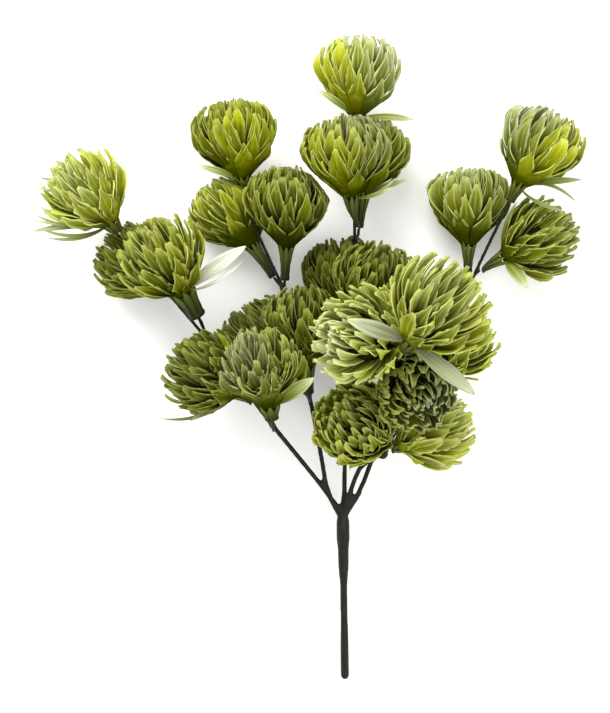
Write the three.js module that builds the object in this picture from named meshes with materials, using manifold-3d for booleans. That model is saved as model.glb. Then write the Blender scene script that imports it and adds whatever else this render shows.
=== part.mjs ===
// A branching spray of pompon chrysanthemums, lying on its back on a flat surface.
// Millimetres. +X is to the spray's right, +Y runs from the cut end of the stem to the flowers, and
// +Z is up. The origin is under the middle of the whole spray, on the surface that it lies on.
//
// One main stem divides into five branches. Each branch has a lower fork with two flower heads and
// an upper fork with three. A head is a green calyx sleeve at the end of a thin stalk, and a bloom:
// rows of pointed petals round a core, with a few long leaf-like petals spread from its base.

import * as THREE from "three";
import { mergeVertices } from "three/addons/utils/BufferGeometryUtils.js";
import Module from "manifold-3d";

const wasm = await Module();
wasm.setup();

// ---------------------------------------------------------------- driving dimensions

const BLOOM_RADIUS = 21;
const BLOOM_HEIGHT = 43;
const BLOOM_BASE_RADIUS = 3.2;
const PETALS_IN_ROW = 8;

const UPPER_SLEEVE_LENGTH = 16;
const SHORT_SLEEVE_LENGTH = 8;
const SLEEVE_TOP_RADIUS = 3.4;
const SLEEVE_BOTTOM_RADIUS = 2.1;
const SLEEVE_SIDES = 7;

const STALK_RADIUS = 1.2;
const STALK_BEND = 10; // how far before the sleeve a long stalk turns to meet it
const BRANCH_RADIUS = 1.5;
const KNUCKLE_RADIUS = 2.3;
const MAIN_STEM_BOTTOM_RADIUS = 2.4;
const MAIN_STEM_WAIST_RADIUS = 2.1;
const MAIN_STEM_TOP_RADIUS = 3.7;
const LIMB_RADIUS = 2.2; // of a branch where it leaves the main stem
const LIMB_ROOT = 2.5; // how far a limb reaches back into the main stem

const LEAF_WIDTH = 6.2;
const THIN_LEAF_WIDTH = 3.4;
const LEAF_THICKNESS = 0.9;
const LEAF_END_WIDTH = 0.16; // its width at both ends, as a share of its full width
const LEAF_ARCH = 0.12; // how high its middle stands over a straight line, as a share of its length
const LEAF_CREASE = 0.14; // how high its edges stand over its midrib, as a share of its width
const LEAF_ROOT = 1.2; // how far up the bloom's axis it grows

const JOINT_GAP = 0.3; // between pieces that touch
const PRESSING_REACH = 1.1; // blooms this many times their radii apart may still touch at their tips
const CLEARANCE = 0.45; // round a stem that passes a bloom
const FLOOR_HEAD = 19.8; // how high the middle of a head lies that rests on the surface

// Rows of petals from the base up. Each has the bulge of its petals, their tips, the notches between
// the tips, and the foot behind them where the next row starts, as [share of the bloom's radius,
// share of its height]. The short petals round the crown are straight.
const PETAL_ROWS = [
  { bulge: [0.72, 0.26], tip: [1.0, 0.52], notch: [0.87, 0.37], foot: [0.74, 0.37] },
  { bulge: [0.92, 0.52], tip: [0.99, 0.74], notch: [0.89, 0.63], foot: [0.69, 0.61] },
  { bulge: [0.82, 0.73], tip: [0.78, 0.9], notch: [0.73, 0.82], foot: [0.53, 0.8] },
  { tip: [0.43, 1.0], notch: [0.48, 0.93], foot: [0.24, 0.89] },
];
const GROOVE_DEPTH = 0.06; // how far in the bulge lies between two petals, as a share of the radius
const CROWN_HEIGHT = 0.95; // the middle of the bloom, as a share of its height
const TIP_SPREAD = 0.05; // the most that a tip stands out past its row, as a share of the radius
const TIP_RISE = 0.02; // the most that a tip is higher or lower than its row, as a share of the height

// ---------------------------------------------------------------- the spray

// The main stem lies from its rounded cut end to the point where the branches leave it.
const MAIN_STEM_END = [21.7, -175.5, 1.7];
const MAIN_STEM_TOP = [20, -84, 20];

// Each branch runs from the main stem to its lower fork, and on to its upper fork. A head's `at` is
// the middle of its bloom and `facing` the way that it opens. `open` widens a bloom, `sleeve` is the
// length of its calyx sleeve where that isn't the usual one, `stout` widens the sleeve and the foot of
// the bloom on it, and `leaves` and `thinLeaves` give the tips of its long petals, measured from the
// bloom's base. `collar` is the radius of a fork that is swollen.
const BRANCHES = [
  {
    name: "left",
    lower: [[19.5, -85, 20], [13, -74, 20], [-3, -53.5, 22], [-17, -36, 26]],
    upper: [[-17, -36, 26], [-31.5, -17, 24], [-44.5, 0, 28], [-51.5, 10, 34]],
    low: [
      {
        name: "near",
        at: [-20.5, -5.5, 68],
        facing: [-0.15, 0.93, 0.33],
        sleeve: 6,
        stout: 1.5,
        leaves: [[22, 14, 10]],
      },
      { name: "far", at: [-50, -8, 52], facing: [-0.8, 0.5, 0.3], thinLeaves: [[-22, -13, 8]] },
    ],
    high: [
      {
        name: "near",
        at: [-70.5, 49, 58],
        facing: [-0.45, 0.8, 0.4],
        open: 1.08,
        sleeve: 14,
        stout: 1.9,
        leaves: [[32, 22, 8]],
      },
      { name: "far", at: [-90, 50, FLOOR_HEAD], facing: [-0.75, 0.62, -0.05], thinLeaves: [[-4, 29, 10]] },
    ],
    tip: {
      at: [-111, 84, 45],
      facing: [-0.58, 0.77, 0.25],
      open: 1.06,
      stout: 1.3,
      thinLeaves: [[-38, -5, 8]],
    },
  },
  {
    name: "middle_left",
    lower: [[20, -84, 20], [13, -74, 20], [8, -49.5, 20], [2, -20, 20]],
    upper: [[2, -20, 20], [-7.8, 8.5, 35], [-12, 29, 33], [-11.5, 36, 30]],
    low: [
      { name: "near", at: [0.5, 14.5, 51], facing: [-0.05, 0.93, 0.35], sleeve: 14 },
      { name: "far", at: [-22.5, 9, FLOOR_HEAD], facing: [-0.6, 0.8, 0], sleeve: 11 },
    ],
    high: [
      { name: "near", at: [-8.5, 75, 50], facing: [0.05, 0.95, 0.3] },
      { name: "far", at: [-38.5, 75, FLOOR_HEAD], facing: [-0.55, 0.83, -0.05], sleeve: 18 },
    ],
    tip: { at: [-35.5, 111, 38], facing: [-0.15, 0.98, 0.1], sleeve: 7, thinLeaves: [[-22, 6, 10]] },
  },
  {
    name: "middle_right",
    lower: [[20, -84, 20], [21, -70, 20], [21, -53.5, 19], [24, 3, 19]],
    upper: [[24, 3, 19], [28, 29, 38], [27, 45, 40], [25.5, 59.5, 40]],
    low: [
      { name: "near", at: [34.5, 35.5, 56], facing: [0.2, 0.85, 0.5] },
      { name: "far", at: [20, 42, FLOOR_HEAD], facing: [-0.15, 0.98, 0] },
    ],
    high: [
      { name: "near", at: [20.5, 99, 58], facing: [-0.12, 0.93, 0.3], open: 1.04 },
      { name: "far", at: [33, 105, FLOOR_HEAD], facing: [0.12, 0.98, -0.1], thinLeaves: [[22, 6, 16]] },
    ],
    tip: { at: [27.5, 143.5, 38], facing: [0.05, 1, 0.05], thinLeaves: [[29, -3, 8], [-21, 13, 6]] },
  },
  {
    name: "front",
    lower: [[20.5, -84, 20.5], [24.5, -69, 24], [30, -56, 31], [40, -50, 36]],
    collar: 4.6,
    upper: [[40, -50, 36], [48, -34, 35], [50, -16, 41], [49, -6, 47]],
    low: [
      {
        name: "near",
        at: [26, -34, 60],
        facing: [-0.48, 0.5, 0.72],
        sleeve: 3.5,
        thinLeaves: [[-32, 14, 10]],
      },
      {
        name: "far",
        at: [65, -36, 48],
        facing: [0.85, 0.46, 0.25],
        sleeve: 3.5,
        thinLeaves: [[24, -11, 6]],
      },
    ],
    high: [
      { name: "near", at: [25, 10, 110], facing: [-0.6, 0.2, 0.77], open: 1.1 },
      { name: "far", at: [51.5, -16, 88], facing: [0.1, -0.3, 0.95], open: 0.88, sleeve: 8 },
    ],
    tip: {
      at: [57.5, 21.5, 135],
      facing: [0.6, 0.72, 0.3],
      open: 1.16,
      sleeve: 5,
      leaves: [[-27, 9, 10], [28, -23, 8]],
    },
  },
  {
    name: "right",
    lower: [[20.5, -84, 20.5], [29, -71, 23], [35, -55, 23], [61, -24, 20]],
    upper: [[61, -24, 20], [74.5, 8, 17], [82, 28, 18], [87, 38, 20]],
    low: [
      { name: "near", at: [76, 6, 50], facing: [0.35, 0.6, 0.7] },
      { name: "far", at: [51, 13, FLOOR_HEAD], facing: [-0.25, 0.97, 0] },
    ],
    high: [
      { name: "near", at: [121, 61, 32], facing: [0.87, 0.46, 0.18], sleeve: 12, leaves: [[11, -16, 8]] },
      { name: "far", at: [87, 79, FLOOR_HEAD], facing: [0.02, 0.99, 0.05], sleeve: 13 },
    ],
    tip: {
      at: [118, 105, 46],
      facing: [0.45, 0.87, 0.15],
      open: 1.04,
      thinLeaves: [[30, 9, 6], [14, -7, 14]],
    },
  },
];

// ---------------------------------------------------------------- materials

const MATERIALS = {
  petals: new THREE.MeshStandardMaterial({ color: 0x9aa636, roughness: 0.6, metalness: 0 }),
  calyx: new THREE.MeshStandardMaterial({ color: 0x6f8454, roughness: 0.6, metalness: 0 }),
  stem: new THREE.MeshStandardMaterial({ color: 0x3c4a2c, roughness: 0.55, metalness: 0 }),
};

// ---------------------------------------------------------------- helpers

const UP = new THREE.Vector3(0, 0, 1);

function vector([x, y, z]) {
  return new THREE.Vector3(x, y, z);
}

/** A seeded random number generator, so that every build draws the same petals. */
function randomFrom(seed) {
  let state = seed;
  return () => {
    state = (state * 1664525 + 1013904223) % 4294967296;
    return state / 4294967296;
  };
}

/** The manifold-3d solid of a closed geometry. */
function solidOf(geometry) {
  const bare = geometry.clone();
  bare.deleteAttribute("normal");
  bare.deleteAttribute("uv");
  const merged = mergeVertices(bare, 1e-4);
  return new wasm.Manifold(
    new wasm.Mesh({
      numProp: 3,
      vertProperties: new Float32Array(merged.attributes.position.array),
      triVerts: new Uint32Array(merged.index.array),
    }),
  );
}

/** The three.js geometry of a manifold-3d solid. */
function geometryOf(solid) {
  const mesh = solid.getMesh();
  const geometry = new THREE.BufferGeometry();
  geometry.setAttribute("position", new THREE.BufferAttribute(mesh.vertProperties, mesh.numProp));
  geometry.setIndex(new THREE.BufferAttribute(mesh.triVerts, 1));
  geometry.computeVertexNormals();
  return geometry;
}

function union(solids) {
  return solids.reduce((all, solid) => all.add(solid));
}

/** The biggest of the separate bodies that a cut has left: loose scraps are dropped. */
function biggestBody(solid) {
  return solid.decompose().reduce((best, body) => (body.volume() > best.volume() ? body : best));
}

/** A solid of revolution about Z from [radius, height] points, which start and end on the axis. */
function turned(profile, sides) {
  const points = profile.map(([radius, height]) => new THREE.Vector2(radius, height));
  return new THREE.LatheGeometry(points, sides).rotateX(Math.PI / 2);
}

/** A round tube along a smooth curve. */
function tube(curve, radius, sides, steps) {
  const section = new THREE.Shape();
  for (let i = 0; i < sides; i++) {
    const angle = (2 * Math.PI * i) / sides;
    const method = i ? "lineTo" : "moveTo";
    section[method](radius * Math.cos(angle), radius * Math.sin(angle));
  }
  return new THREE.ExtrudeGeometry(section, { steps, extrudePath: curve, bevelEnabled: false });
}

/** Everything on the far side of a plane, within reach of the spray. */
function beyondPlane(point, normal) {
  const size = 600;
  const slab = new THREE.BoxGeometry(size, size, size).translate(0, 0, size / 2);
  const turn = new THREE.Quaternion().setFromUnitVectors(UP, normal);
  return solidOf(slab.applyQuaternion(turn).translate(point.x, point.y, point.z));
}

// ---------------------------------------------------------------- heads

/** A head's place: the base of its bloom, its axis, and a matrix from its own frame to the spray's. */
function placed(head, name, fork, usualSleeve, seed) {
  const open = head.open ?? 1;
  const axis = vector(head.facing).normalize();
  const middle = vector(head.at);
  const base = middle.clone().addScaledVector(axis, -BLOOM_HEIGHT / 2);
  const towardsTop = UP.clone().addScaledVector(axis, -UP.dot(axis));
  if (Math.abs(UP.dot(axis)) > 0.95) towardsTop.set(0, 1, 0).addScaledVector(axis, -axis.y);
  const side = towardsTop.normalize();
  const matrix = new THREE.Matrix4().makeBasis(side, axis.clone().cross(side), axis).setPosition(base);
  return {
    name,
    fork: vector(fork),
    sleeveLength: head.sleeve ?? usualSleeve,
    stout: head.stout ?? 1,
    seed,
    open,
    axis,
    middle,
    base,
    matrix,
    leaves: head.leaves ?? [],
    thinLeaves: head.thinLeaves ?? [],
  };
}

function headsOf(branch, index) {
  const lowerFork = branch.lower.at(-1);
  const upperFork = branch.upper.at(-1);
  const seed = 100 * (index + 1);
  const low = branch.low.map((head, i) =>
    placed(head, `${branch.name}_low_${head.name}`, lowerFork, SHORT_SLEEVE_LENGTH, seed + i),
  );
  const high = branch.high.map((head, i) =>
    placed(head, `${branch.name}_high_${head.name}`, upperFork, UPPER_SLEEVE_LENGTH, seed + 10 + i),
  );
  const tip = placed(branch.tip, `${branch.name}_tip`, upperFork, SHORT_SLEEVE_LENGTH, seed + 20);
  return [...low, ...high, tip];
}

const heads = BRANCHES.flatMap(headsOf);

/** The rings of points round a bloom, from its base to its crown. Each has a place on the middle of
 *  the petals and one in the grooves between them. */
function petalRings(radius, baseRadius) {
  const evenRing = (place) => ({ petal: place, groove: place, row: 0 });
  const rings = [evenRing([0, 0]), evenRing([baseRadius / radius, 0])];
  PETAL_ROWS.forEach(({ bulge, tip, notch, foot }, row) => {
    if (bulge) rings.push({ petal: bulge, groove: [bulge[0] - GROOVE_DEPTH, bulge[1]], row });
    rings.push({ petal: tip, groove: notch, row, uneven: true });
    rings.push(evenRing(foot));
  });
  return [...rings, evenRing([0, CROWN_HEIGHT])];
}

/** The petals of one bloom: a turned core whose columns follow, by turns, the middle of a petal and
 *  the groove beside it, so that each row ends in a crown of pointed tips. */
function petalsOf(head) {
  const radius = BLOOM_RADIUS * head.open;
  const columns = 2 * PETALS_IN_ROW;
  const random = randomFrom(head.seed);
  const rings = petalRings(radius, BLOOM_BASE_RADIUS * head.stout);
  const profile = rings.map(({ petal }) => [petal[0] * radius, petal[1] * BLOOM_HEIGHT]);
  const geometry = turned(profile, columns);
  const position = geometry.attributes.position;
  rings.forEach(({ petal, groove, row, uneven }, ring) => {
    for (let column = 0; column < columns; column++) {
      const onPetal = (column + row) % 2 === 0;
      let [out, up] = onPetal ? petal : groove;
      if (onPetal && uneven) {
        out += TIP_SPREAD * random();
        up += TIP_RISE * (2 * random() - 1);
      }
      const angle = (2 * Math.PI * column) / columns;
      const x = out * radius * Math.sin(angle);
      const y = -out * radius * Math.cos(angle);
      const copies = column === 0 ? [0, columns] : [column]; // the seam has its points twice
      for (const copy of copies) position.setXYZ(copy * rings.length + ring, x, y, up * BLOOM_HEIGHT);
    }
  });
  return solidOf(geometry.applyMatrix4(head.matrix));
}

/** One long petal from the bloom's base to a tip: a lance-shaped blade with a crease along it, which
 *  arches up and faces the sky. */
function leafTo(head, tip, width) {
  const [segmentsAcross, segmentsAlong] = [2, 4];
  const root = head.base.clone().addScaledVector(head.axis, LEAF_ROOT);
  const run = vector(tip);
  const length = run.length();
  const along = run.normalize();
  const across = UP.clone().cross(along).normalize();
  const face = along.clone().cross(across);
  const blade = new THREE.BoxGeometry(1, 1, 1, segmentsAcross, 1, segmentsAlong);
  const position = blade.attributes.position;
  for (let i = 0; i < position.count; i++) {
    const t = position.getZ(i) + 0.5;
    const side = 2 * position.getX(i);
    const swell = Math.sin(Math.PI * t);
    const halfWidth = (width / 2) * (LEAF_END_WIDTH + (1 - LEAF_END_WIDTH) * swell);
    const lift = swell * (LEAF_ARCH * length + LEAF_CREASE * width * Math.abs(side));
    const point = root.clone();
    point.addScaledVector(along, t * length);
    point.addScaledVector(across, side * halfWidth);
    point.addScaledVector(face, lift + LEAF_THICKNESS * position.getY(i));
    position.setXYZ(i, point.x, point.y, point.z);
  }
  return solidOf(blade);
}

/** The space that a bloom fills, a little larger, which the long petals of other heads keep out of. */
function spaceOf(head) {
  const radius = BLOOM_RADIUS * head.open * (1 + TIP_SPREAD) + CLEARANCE;
  const profile = [
    [0, -CLEARANCE],
    [BLOOM_BASE_RADIUS * head.stout + CLEARANCE, -CLEARANCE],
    [radius * 0.8, BLOOM_HEIGHT * 0.2],
    [radius, BLOOM_HEIGHT * 0.5],
    [radius, BLOOM_HEIGHT * 0.75],
    [radius * 0.75, BLOOM_HEIGHT * 0.96],
    [radius * 0.35, BLOOM_HEIGHT * 1.04],
    [0, BLOOM_HEIGHT * 1.04],
  ];
  return solidOf(turned(profile, 16).applyMatrix4(head.matrix));
}

/** The calyx sleeve under a bloom, in the head's frame. `grown` widens it all round. */
function sleeveGeometry(head, grown = 0) {
  const top = -JOINT_GAP + grown;
  const bottom = -head.sleeveLength - grown;
  const waist = bottom + 0.55 * (top - bottom);
  const bottomRadius = SLEEVE_BOTTOM_RADIUS * head.stout + grown;
  return turned(
    [
      [0, bottom],
      [bottomRadius, bottom],
      [bottomRadius + 0.4 * head.stout, waist],
      [SLEEVE_TOP_RADIUS * head.stout + grown, top],
      [0, top],
    ],
    SLEEVE_SIDES,
  );
}

/** The sleeve in the spray's frame, bent clear of any stem that passes it. */
function sleeveSolid(head) {
  return biggestBody(solidOf(sleeveGeometry(head).applyMatrix4(head.matrix)).subtract(stemSpace));
}

// ---------------------------------------------------------------- stem

/** The main stem: thickest under the branches, slim at its middle, with a rounded end. */
function mainStem(grown) {
  const start = vector(MAIN_STEM_END);
  const run = vector(MAIN_STEM_TOP).sub(start);
  const length = run.length();
  const bottom = MAIN_STEM_BOTTOM_RADIUS + grown;
  const waist = MAIN_STEM_WAIST_RADIUS + grown;
  const top = MAIN_STEM_TOP_RADIUS + grown;
  const profile = [
    [0, 0],
    [bottom * 0.7, 0.5],
    [bottom, 2.2],
    [bottom, length * 0.2],
    [waist, length * 0.38],
    [waist, length * 0.58],
    [top * 0.8, length * 0.7],
    [top * 0.82, length * 0.8],
    [top, length * 0.86],
    [top * 0.97, length - 3],
    [top * 0.75, length],
    [0, length + 1],
  ];
  const turn = new THREE.Quaternion().setFromUnitVectors(UP, run.normalize());
  return solidOf(turned(profile, 10).applyQuaternion(turn).translate(start.x, start.y, start.z));
}

function branchTubes(branch, grown) {
  const points = [...branch.lower, ...branch.upper.slice(1)].map(vector);
  const curve = new THREE.CatmullRomCurve3(points, false, "centripetal");
  return tube(curve, BRANCH_RADIUS + grown, 6, 13);
}

/** The thick lower end of a branch, from inside the main stem to the branch's first bend. */
function limb(branch, grown) {
  const [root, bend] = branch.lower.slice(0, 2).map(vector);
  const run = bend.clone().sub(root);
  const foot = root.clone().addScaledVector(run.clone().normalize(), -LIMB_ROOT);
  const length = bend.distanceTo(foot);
  const profile = [
    [0, 0],
    [LIMB_RADIUS + grown, 0],
    [BRANCH_RADIUS + grown, length],
    [0, length + 0.5],
  ];
  const turn = new THREE.Quaternion().setFromUnitVectors(UP, run.normalize());
  return turned(profile, 7).applyQuaternion(turn).translate(foot.x, foot.y, foot.z);
}

/** A fork's knuckle, or its collar where it is swollen. */
function knuckle({ point, collar }, grown) {
  const radius = (collar ?? KNUCKLE_RADIUS) + grown;
  return new THREE.IcosahedronGeometry(radius, collar ? 1 : 0).translate(...point);
}

/** A thin stalk from a fork to the lower end of a head's sleeve, which it meets squarely. */
function stalk(head, grown) {
  const end = head.base.clone().addScaledVector(head.axis, -head.sleeveLength - JOINT_GAP);
  const reach = end.distanceTo(head.fork);
  const bend = end.clone().addScaledVector(head.axis, -Math.min(0.45 * reach, STALK_BEND));
  const curve = new THREE.QuadraticBezierCurve3(head.fork, bend, end);
  return tube(curve, STALK_RADIUS + grown, 5, reach > 15 ? 4 : 2);
}

/** The main stem with its branches, knuckles and stalks in one piece. `grown` thickens it all. */
function stemSolid(grown = 0) {
  const forks = BRANCHES.flatMap(({ lower, upper, collar }) => [
    { point: lower.at(-1), collar },
    { point: upper.at(-1) },
  ]);
  return union([
    mainStem(grown),
    ...BRANCHES.map((branch) => solidOf(branchTubes(branch, grown))),
    ...BRANCHES.map((branch) => solidOf(limb(branch, grown))),
    ...forks.map((fork) => solidOf(knuckle(fork, grown))),
    ...heads.map((head) => solidOf(stalk(head, grown))),
  ]);
}

// ---------------------------------------------------------------- blooms among their neighbours

const NEIGHBOUR_REACH = 4 * BLOOM_RADIUS; // heads further apart than this can't touch
const surface = beyondPlane(new THREE.Vector3(), UP.clone().negate());
const stemSpace = stemSolid(CLEARANCE);

/** Cuts a bloom's petals flat where they press against a neighbour's. */
function pressedApart(petals, head, others) {
  let cut = petals;
  for (const other of others) {
    const gap = head.middle.distanceTo(other.middle);
    if (gap > BLOOM_RADIUS * (head.open + other.open) * PRESSING_REACH) continue;
    const normal = other.middle.clone().sub(head.middle).normalize();
    const toPlane = (gap * head.open) / (head.open + other.open) - JOINT_GAP / 2;
    const point = head.middle.clone().addScaledVector(normal, toPlane);
    cut = cut.subtract(beyondPlane(point, normal));
  }
  return cut;
}

function longPetals(head) {
  const wide = head.leaves.map((tip) => leafTo(head, tip, LEAF_WIDTH));
  const thin = head.thinLeaves.map((tip) => leafTo(head, tip, THIN_LEAF_WIDTH));
  return [...wide, ...thin];
}

function neighboursOf(head) {
  return heads.filter(
    (other) => other !== head && other.middle.distanceTo(head.middle) < NEIGHBOUR_REACH,
  );
}

/** A head's petals, cut clear of everything that passes them and flat where they rest. */
function bloomSolid(head) {
  const others = neighboursOf(head);
  let bloom = pressedApart(petalsOf(head), head, others);
  const blades = longPetals(head);
  if (blades.length) {
    const clear = others.reduce((kept, other) => kept.subtract(spaceOf(other)), union(blades));
    bloom = bloom.add(clear);
  }
  for (const other of others) {
    bloom = bloom.subtract(solidOf(sleeveGeometry(other, CLEARANCE).applyMatrix4(other.matrix)));
  }
  return biggestBody(bloom.subtract(stemSpace).subtract(surface));
}

// ---------------------------------------------------------------- the whole spray

function meshOf(name, geometry, material) {
  const mesh = new THREE.Mesh(geometry, material);
  mesh.name = name;
  return mesh;
}

/** One head as a group in its own frame, which holds its sleeve and its bloom. */
function headGroup(head) {
  const group = new THREE.Group();
  head.matrix.decompose(group.position, group.quaternion, group.scale);
  const toHead = head.matrix.clone().invert();
  const sleeve = geometryOf(sleeveSolid(head)).applyMatrix4(toHead);
  const bloom = geometryOf(bloomSolid(head)).applyMatrix4(toHead);
  group.add(meshOf(`calyx_${head.name}`, sleeve, MATERIALS.calyx));
  group.add(meshOf(`bloom_${head.name}`, bloom, MATERIALS.petals));
  return group;
}

const spray = new THREE.Group();
spray.add(meshOf("stem", geometryOf(stemSolid().subtract(surface)), MATERIALS.stem));
for (const head of heads) spray.add(headGroup(head));

// The origin goes under the middle of the spray.
const group = new THREE.Group();
group.add(spray);
group.updateMatrixWorld(true);
const middle = new THREE.Box3().setFromObject(spray, true).getCenter(new THREE.Vector3());
spray.position.set(-middle.x, -middle.y, 0);

export default group;
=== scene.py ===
"""An artificial spray of pompon chrysanthemums, lying on its back on a pale floor, seen from above.

The calyx sleeves in the frame say where each head is: the flat top of a sleeve carries the foot of
its bloom and faces along the bloom's axis. On it each bloom grows rows of channelled petals round a
small core. The sleeves get ribs and sepals, and the stem is smoothed. Lengths are in millimetres
until a mesh is made. A head's own frame has its origin at the foot of the bloom, with +Z along the
bloom's axis and +X on the side that faces the camera.
"""

import math
import random
from collections import namedtuple

import bmesh
import bpy
import numpy as np
from mathutils import Matrix, Vector


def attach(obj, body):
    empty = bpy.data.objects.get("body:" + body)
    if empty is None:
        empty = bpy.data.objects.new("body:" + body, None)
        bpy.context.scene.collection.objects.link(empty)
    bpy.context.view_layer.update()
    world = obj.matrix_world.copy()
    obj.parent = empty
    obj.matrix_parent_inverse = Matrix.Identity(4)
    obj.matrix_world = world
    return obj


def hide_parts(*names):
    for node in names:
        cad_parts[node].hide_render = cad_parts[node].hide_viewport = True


# ------------------------------------------------------------------ driving dimensions

# These are the CAD model's.

BLOOM_RADIUS = 21
BLOOM_HEIGHT = 43
SLEEVE_TOP_RADIUS = 3.4
SLEEVE_BOTTOM_RADIUS = 2.1
SLEEVE_SIDES = 7
JOINT_GAP = 0.3
PRESSING_REACH = 1.1  # blooms press on each other when they are nearer than this times their radii

MM = 0.001

# ------------------------------------------------------------------ kinds of bloom

# Where the points of a petal lie across it, from edge to edge, and how many rings of them lie along
# it. The petals on the outside of a bloom have more of both.
Grid = namedtuple("Grid", "across rings")
FINE = Grid(np.array([-1, -0.82, -0.5, 0, 0.5, 0.82, 1]), 12)
COARSE = Grid(np.array([-1, -0.75, 0, 0.75, 1]), 8)

# One row of a bloom's petals. `out` and `up` place the tips, as shares of the bloom's radius and
# height. `lean` is how far the tips lean outwards, in degrees, and `width` the petals' full width.
Row = namedtuple("Row", "out up lean count width grid", defaults=(FINE,))

# The rows of a closed, cup-shaped bloom and of an open one, from the outside in. In the tall and
# the long rows the petals of these two stand further apart, so that more of each shows.
CUP_ROWS = [
    Row(0.84, 0.44, 30, 7, 7.6),
    Row(0.94, 0.54, 20, 9, 7.4),
    Row(1.0, 0.64, 8, 11, 7.0),
    Row(1.0, 0.71, -6, 12, 9.2),
    Row(0.95, 0.78, -18, 13, 8.8),
    Row(0.86, 0.84, -26, 13, 8.0),
    Row(0.74, 0.89, -32, 13, 7.0, COARSE),
    Row(0.6, 0.93, -36, 12, 6.2, COARSE),
    Row(0.45, 0.96, -36, 10, 5.6, COARSE),
    Row(0.29, 0.98, -30, 8, 5.2, COARSE),
    Row(0.13, 0.985, -15, 5, 4.8, COARSE),
]
TALL_ROWS = [
    Row(0.88, 0.46, 24, 8, 7.6),
    Row(1.0, 0.62, 6, 11, 8.2),
    Row(0.98, 0.75, -12, 12, 8.8),
    Row(0.87, 0.85, -26, 13, 8.2),
]
OPEN_ROWS = [
    Row(0.66, 0.28, 50, 7, 7.6),
    Row(0.86, 0.35, 46, 9, 8.4),
    Row(0.98, 0.45, 36, 10, 8.4),
    Row(1.03, 0.56, 26, 11, 8.4),
    Row(1.0, 0.67, 16, 12, 8.0),
    Row(0.91, 0.76, 8, 12, 7.4),
    Row(0.78, 0.84, 0, 12, 6.8),
    Row(0.61, 0.9, -6, 11, 6.2, COARSE),
    Row(0.44, 0.945, -12, 9, 5.8, COARSE),
    Row(0.28, 0.97, -14, 7, 5.4, COARSE),
]
LONG_ROWS = [
    Row(0.7, 0.3, 46, 9, 7.6),
    Row(1.0, 0.47, 32, 12, 8.2),
    Row(1.02, 0.64, 18, 13, 8.2),
    Row(0.88, 0.78, 6, 13, 7.4),
    Row(0.68, 0.87, -4, 12, 6.6),
    Row(0.46, 0.94, -12, 10, 6.0, COARSE),
    Row(0.28, 0.97, -14, 7, 5.4, COARSE),
]
HEART_ROWS = [
    Row(0.18, 0.965, 6, 6, 4.8, COARSE),
    Row(0.09, 0.97, 4, 4, 4.4, COARSE),
]

# The forms of a petal's tip: the width left there, as a share of the petal's, how late the petal
# narrows, and how deep its tip is notched.
Tip = namedtuple("Tip", "blunt narrowing notch")
POINTED = Tip(0.14, 1.35, 0)
ROUNDED = Tip(0.3, 2.0, 0)
NOTCHED = Tip(0.5, 2.4, 0.9)

# How the blooms of a kind are made. The petals of the first `cupped` rows are fused to their
# neighbours for the share `fused` of their length. `slope` is how steeply the side falls in towards
# the foot, in degrees, and `tips` how common pointed, rounded and notched tips are. `claw` is the
# width of a free petal's root and `belly` the place where it is widest, as shares. `channel` is the
# depth of the channel along a petal, `ragged` how uneven its edges are, and `loose` how much the
# petals differ. A petal darkens towards its foot, partly its own olive and partly painted shade of
# the bloom's depths; its foot is coloured as a darker petal is at the share `foot_tone` of its
# length.
Kind = namedtuple("Kind", "rows cupped fused slope tips claw belly channel ragged loose foot_tone")
CUP = Kind(
    rows=CUP_ROWS,
    cupped=3,
    fused=0.5,
    slope=3,
    tips=(7, 3, 1),
    claw=0.4,
    belly=0.66,
    channel=0.9,
    ragged=0.08,
    loose=1.4,
    foot_tone=0.15,
)
TALL = CUP._replace(rows=[*TALL_ROWS, *CUP_ROWS[6:]], cupped=2)
BRIGHT_TALL = TALL._replace(foot_tone=0.25)
OPEN = Kind(
    rows=[*OPEN_ROWS, *HEART_ROWS],
    cupped=1,
    fused=0.45,
    slope=8,
    tips=(5, 3, 2),
    claw=0.4,
    belly=0.64,
    channel=1.1,
    ragged=0.14,
    loose=2,
    foot_tone=0.3,
)
LONG = OPEN._replace(rows=[*LONG_ROWS, *HEART_ROWS])
BRIGHT = LONG._replace(foot_tone=0.45)
MIXED = OPEN._replace(
    rows=[*CUP_ROWS[:3], *OPEN_ROWS[4:], *HEART_ROWS],
    cupped=3,
    fused=0.6,
    slope=3,
    tips=(4, 3, 4),
    ragged=0.18,
    loose=2.4,
)
ROSETTE = OPEN._replace(
    rows=[*OPEN_ROWS[:5], *CUP_ROWS[4:], *HEART_ROWS],
    tips=(4, 4, 2),
    channel=1,
    loose=1.5,
    foot_tone=0.35,
)

# ------------------------------------------------------------------ heads as in the photo

# How a head differs from the usual one. `open` widens it, about as in the CAD, and `fine` gives it
# more and narrower petals above its fused rows. `pale` and `gold` are how frosty and how golden its
# petals are, and `shade` is how much painted shade darkens them. `glow` is the side where its lower
# petals are golden, in degrees about the axis from the side that faces the camera. `leaves` and
# `thin` are the tips of long petals from its base, seen from the foot in the part's frame, and
# `wisps` the tips of finer ones with the share of their length by which they bow sideways. `clear`
# is how near all of these come to clear plastic, and `leaf_shade` how dark they are.
Look = namedtuple(
    "Look",
    "kind open fine pale gold shade glow leaves thin wisps clear leaf_shade",
    defaults=(CUP, 1, 1, 0.12, 0.2, 0, None, (), (), (), 0, 0.1),
)

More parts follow.
